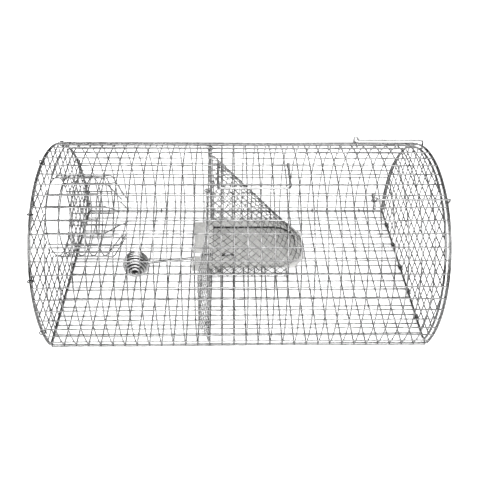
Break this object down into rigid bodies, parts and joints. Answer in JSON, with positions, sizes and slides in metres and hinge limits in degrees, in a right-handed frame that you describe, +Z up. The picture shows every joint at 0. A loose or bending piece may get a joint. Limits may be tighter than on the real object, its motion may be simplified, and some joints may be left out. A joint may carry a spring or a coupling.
{
  "type": "live catch trap",
  "caption": "Domed wire mesh cage trap with a funnel entrance, a hooded counterweighted treadle and a drop-down door held by latch hooks.",
  "frame": {"origin": "middle of the cage's base, on the surface it stands on", "axes": "+X along the cage from the funnel entrance to the drop-down door, +Y across the cage, +Z up"},
  "size_m": [0.4031, 0.2373, 0.161],
  "materials": {
    "mesh_wire": "bright galvanised welded mesh",
    "rim_wire": "galvanised wire",
    "clip_wire": "galvanised clips",
    "fine_mesh": "dull galvanised woven mesh",
    "zinc_sheet": "dull galvanised sheet",
    "rod_wire": "drawn galvanised wire",
    "weight_wire": "dark drawn wire"
  },
  "bodies": {
    "cage": {"dome_line_wires": "mesh_wire", "dome_hoops": "mesh_wire", "base_line_wires": "mesh_wire", "base_cross_wires": "mesh_wire", "base_clips": "clip_wire", "entrance_rim": "rim_wire", "entrance_mesh": "mesh_wire", "entrance_clips": "clip_wire", "funnel_rings": "mesh_wire", "funnel_wires": "mesh_wire", "funnel_fingers": "mesh_wire", "partition_mesh": "fine_mesh", "partition_ties": "clip_wire", "hood_mesh": "fine_mesh", "platform_frame": "zinc_sheet", "treadle_axle": "rod_wire", "door_end_rim": "rim_wire", "latch_pivots": "rod_wire"},
    "treadle": {"treadle_plate": "zinc_sheet", "counterweight_rod": "rod_wire", "counterweight_core": "weight_wire", "counterweight_coil": "weight_wire"},
    "door": {"door_frame": "rim_wire", "door_mesh": "mesh_wire", "door_hinge_links": "clip_wire"},
    "front_latch": {"front_latch_hook": "rod_wire"},
    "back_latch": {"back_latch_hook": "rod_wire"},
    "handle": {"handle_bail": "rod_wire"}
  },
  "joints": [
    {"name": "treadle_hinge", "type": "hinge", "parent": "cage", "child": "treadle", "pos_m": [-0.023, 0, 0.0344], "axis": [0, 1, 0], "range_deg": [0, 15]},
    {"name": "door_hinge", "type": "hinge", "parent": "cage", "child": "door", "pos_m": [0.19685, 0, 0.00197], "axis": [0, 1, 0], "range_deg": [0, 90]},
    {"name": "front_latch_hinge", "type": "hinge", "parent": "cage", "child": "front_latch", "pos_m": [0.127, -0.05049, 0.14839], "axis": [0, -0.9056, -0.4241], "range_deg": [0, 150]},
    {"name": "back_latch_hinge", "type": "hinge", "parent": "cage", "child": "back_latch", "pos_m": [0.127, 0.05049, 0.14839], "axis": [0, -0.9056, 0.4241], "range_deg": [0, 150]},
    {"name": "handle_hinge", "type": "hinge", "parent": "cage", "child": "handle", "pos_m": [0.0127, -0.00642, 0.1577], "axis": [-1, 0, 0], "range_deg": [0, 160]}
  ]
}
